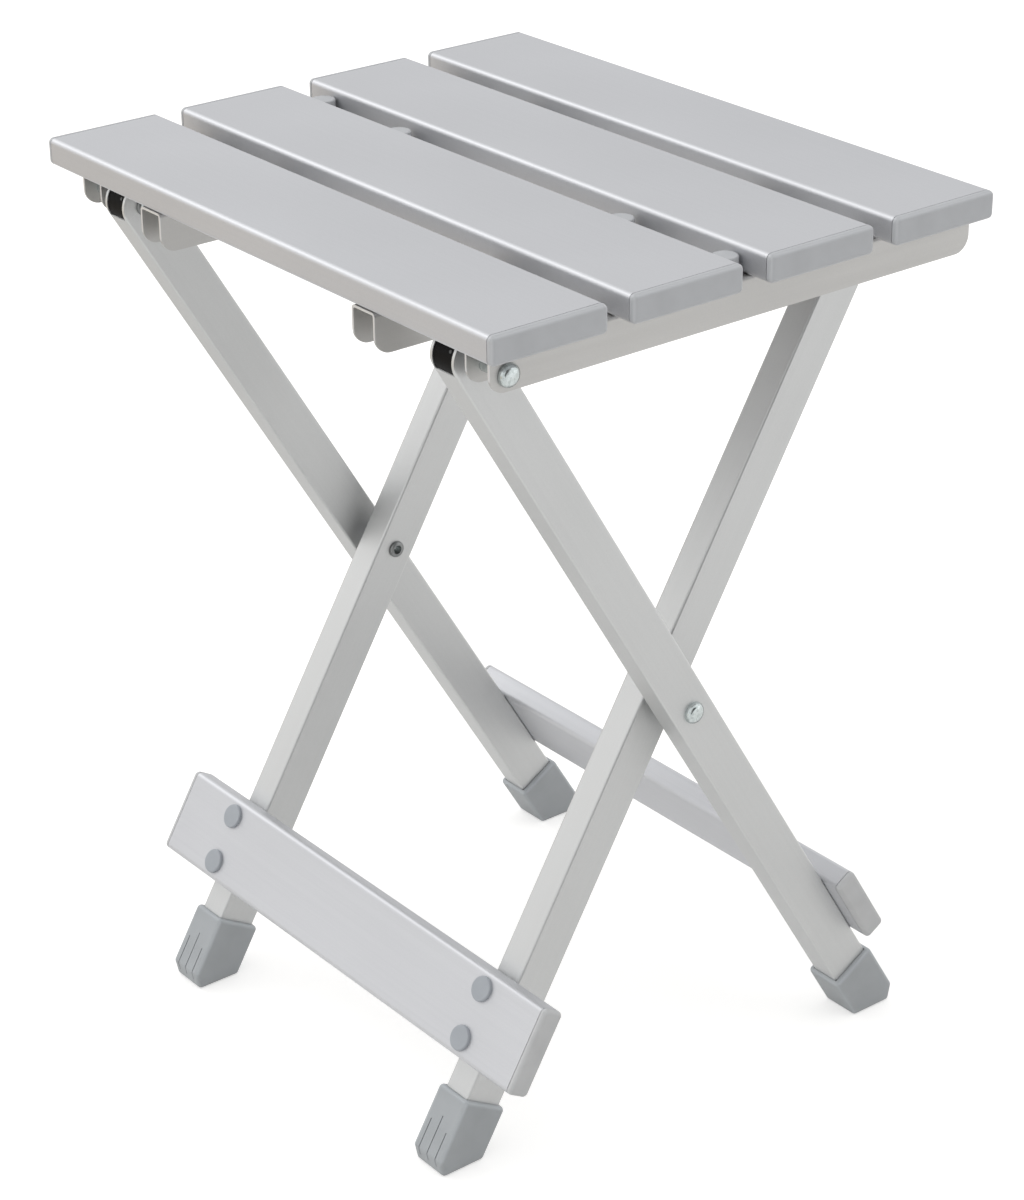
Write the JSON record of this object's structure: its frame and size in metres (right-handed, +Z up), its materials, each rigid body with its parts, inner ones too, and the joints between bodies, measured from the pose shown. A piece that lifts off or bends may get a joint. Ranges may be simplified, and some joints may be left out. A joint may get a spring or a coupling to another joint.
{
  "type": "folding camping stool",
  "caption": "Folding camping stool: slatted aluminium seat in hinged halves on crossed tube legs that scissor closed, with crossbars and plastic boots.",
  "frame": {"origin": "on the floor, under the centre of the seat", "axes": "+X along the slats to the right, +Y from the front to the rear, +Z up"},
  "size_m": [0.337, 0.281, 0.435],
  "materials": {
    "slat_aluminium": "satin anodised",
    "rail_aluminium": "satin anodised",
    "tube_aluminium": "satin anodised",
    "grey_plastic": "fine moulded",
    "boot_plastic": "fine moulded",
    "black_plastic": "moulded",
    "plated_steel": "zinc plated"
  },
  "bodies": {
    "outer_leg_frame": {"outer_leg_left": "tube_aluminium", "outer_leg_right": "tube_aluminium", "outer_leg_plug_left": "black_plastic", "outer_leg_plug_right": "black_plastic", "outer_boot_left": "boot_plastic", "outer_boot_right": "boot_plastic", "rear_crossbar": "slat_aluminium", "rear_crossbar_cap_left": "grey_plastic", "rear_crossbar_cap_right": "grey_plastic", "rear_crossbar_screws": "plated_steel", "rear_crossbar_buttons": "grey_plastic", "front_pivot_rivets": "plated_steel", "front_pivot_sleeves": "grey_plastic", "cross_pivot_rivets": "plated_steel", "cross_pivot_sleeves": "grey_plastic"},
    "inner_leg_frame": {"inner_leg_left": "tube_aluminium", "inner_leg_right": "tube_aluminium", "inner_leg_plug_left": "black_plastic", "inner_leg_plug_right": "black_plastic", "inner_boot_left": "boot_plastic", "inner_boot_right": "boot_plastic", "front_crossbar": "slat_aluminium", "front_crossbar_cap_left": "grey_plastic", "front_crossbar_cap_right": "grey_plastic", "front_crossbar_screws": "plated_steel", "front_crossbar_buttons": "grey_plastic", "rear_pivot_rivets": "plated_steel", "rear_pivot_sleeves": "grey_plastic"},
    "rear_seat": {"slat_3": "slat_aluminium", "slat_3_cap_left": "grey_plastic", "slat_3_cap_right": "grey_plastic", "slat_4": "slat_aluminium", "slat_4_cap_left": "grey_plastic", "slat_4_cap_right": "grey_plastic", "outer_rail_left": "rail_aluminium", "outer_rail_right": "rail_aluminium", "outer_stud_left": "grey_plastic", "outer_stud_right": "grey_plastic", "outer_rail_rivets": "plated_steel"},
    "front_seat": {"slat_1": "slat_aluminium", "slat_1_cap_left": "grey_plastic", "slat_1_cap_right": "grey_plastic", "slat_2": "slat_aluminium", "slat_2_cap_left": "grey_plastic", "slat_2_cap_right": "grey_plastic", "inner_rail_left": "rail_aluminium", "inner_rail_right": "rail_aluminium", "inner_stud_left": "grey_plastic", "inner_stud_right": "grey_plastic", "inner_rail_rivets": "plated_steel"}
  },
  "joints": [
    {"name": "leg_scissor", "type": "hinge", "parent": "outer_leg_frame", "child": "inner_leg_frame", "pos_m": [0, 0, 0.208], "axis": [1, 0, 0], "range_deg": [0, 61]},
    {"name": "rear_seat_fold", "type": "hinge", "parent": "outer_leg_frame", "child": "rear_seat", "pos_m": [0, -0.1215, 0.4105], "axis": [1, 0, 0], "range_deg": [0, 106.75]},
    {"name": "front_seat_fold", "type": "hinge", "parent": "inner_leg_frame", "child": "front_seat", "pos_m": [0, 0.1215, 0.4105], "axis": [1, 0, 0], "range_deg": [-106.75, 0]}
  ],
  "couplings": [
    {"joint": "rear_seat_fold", "follows": "leg_scissor", "ratio": 1.75},
    {"joint": "front_seat_fold", "follows": "leg_scissor", "ratio": -1.75}
  ]
}
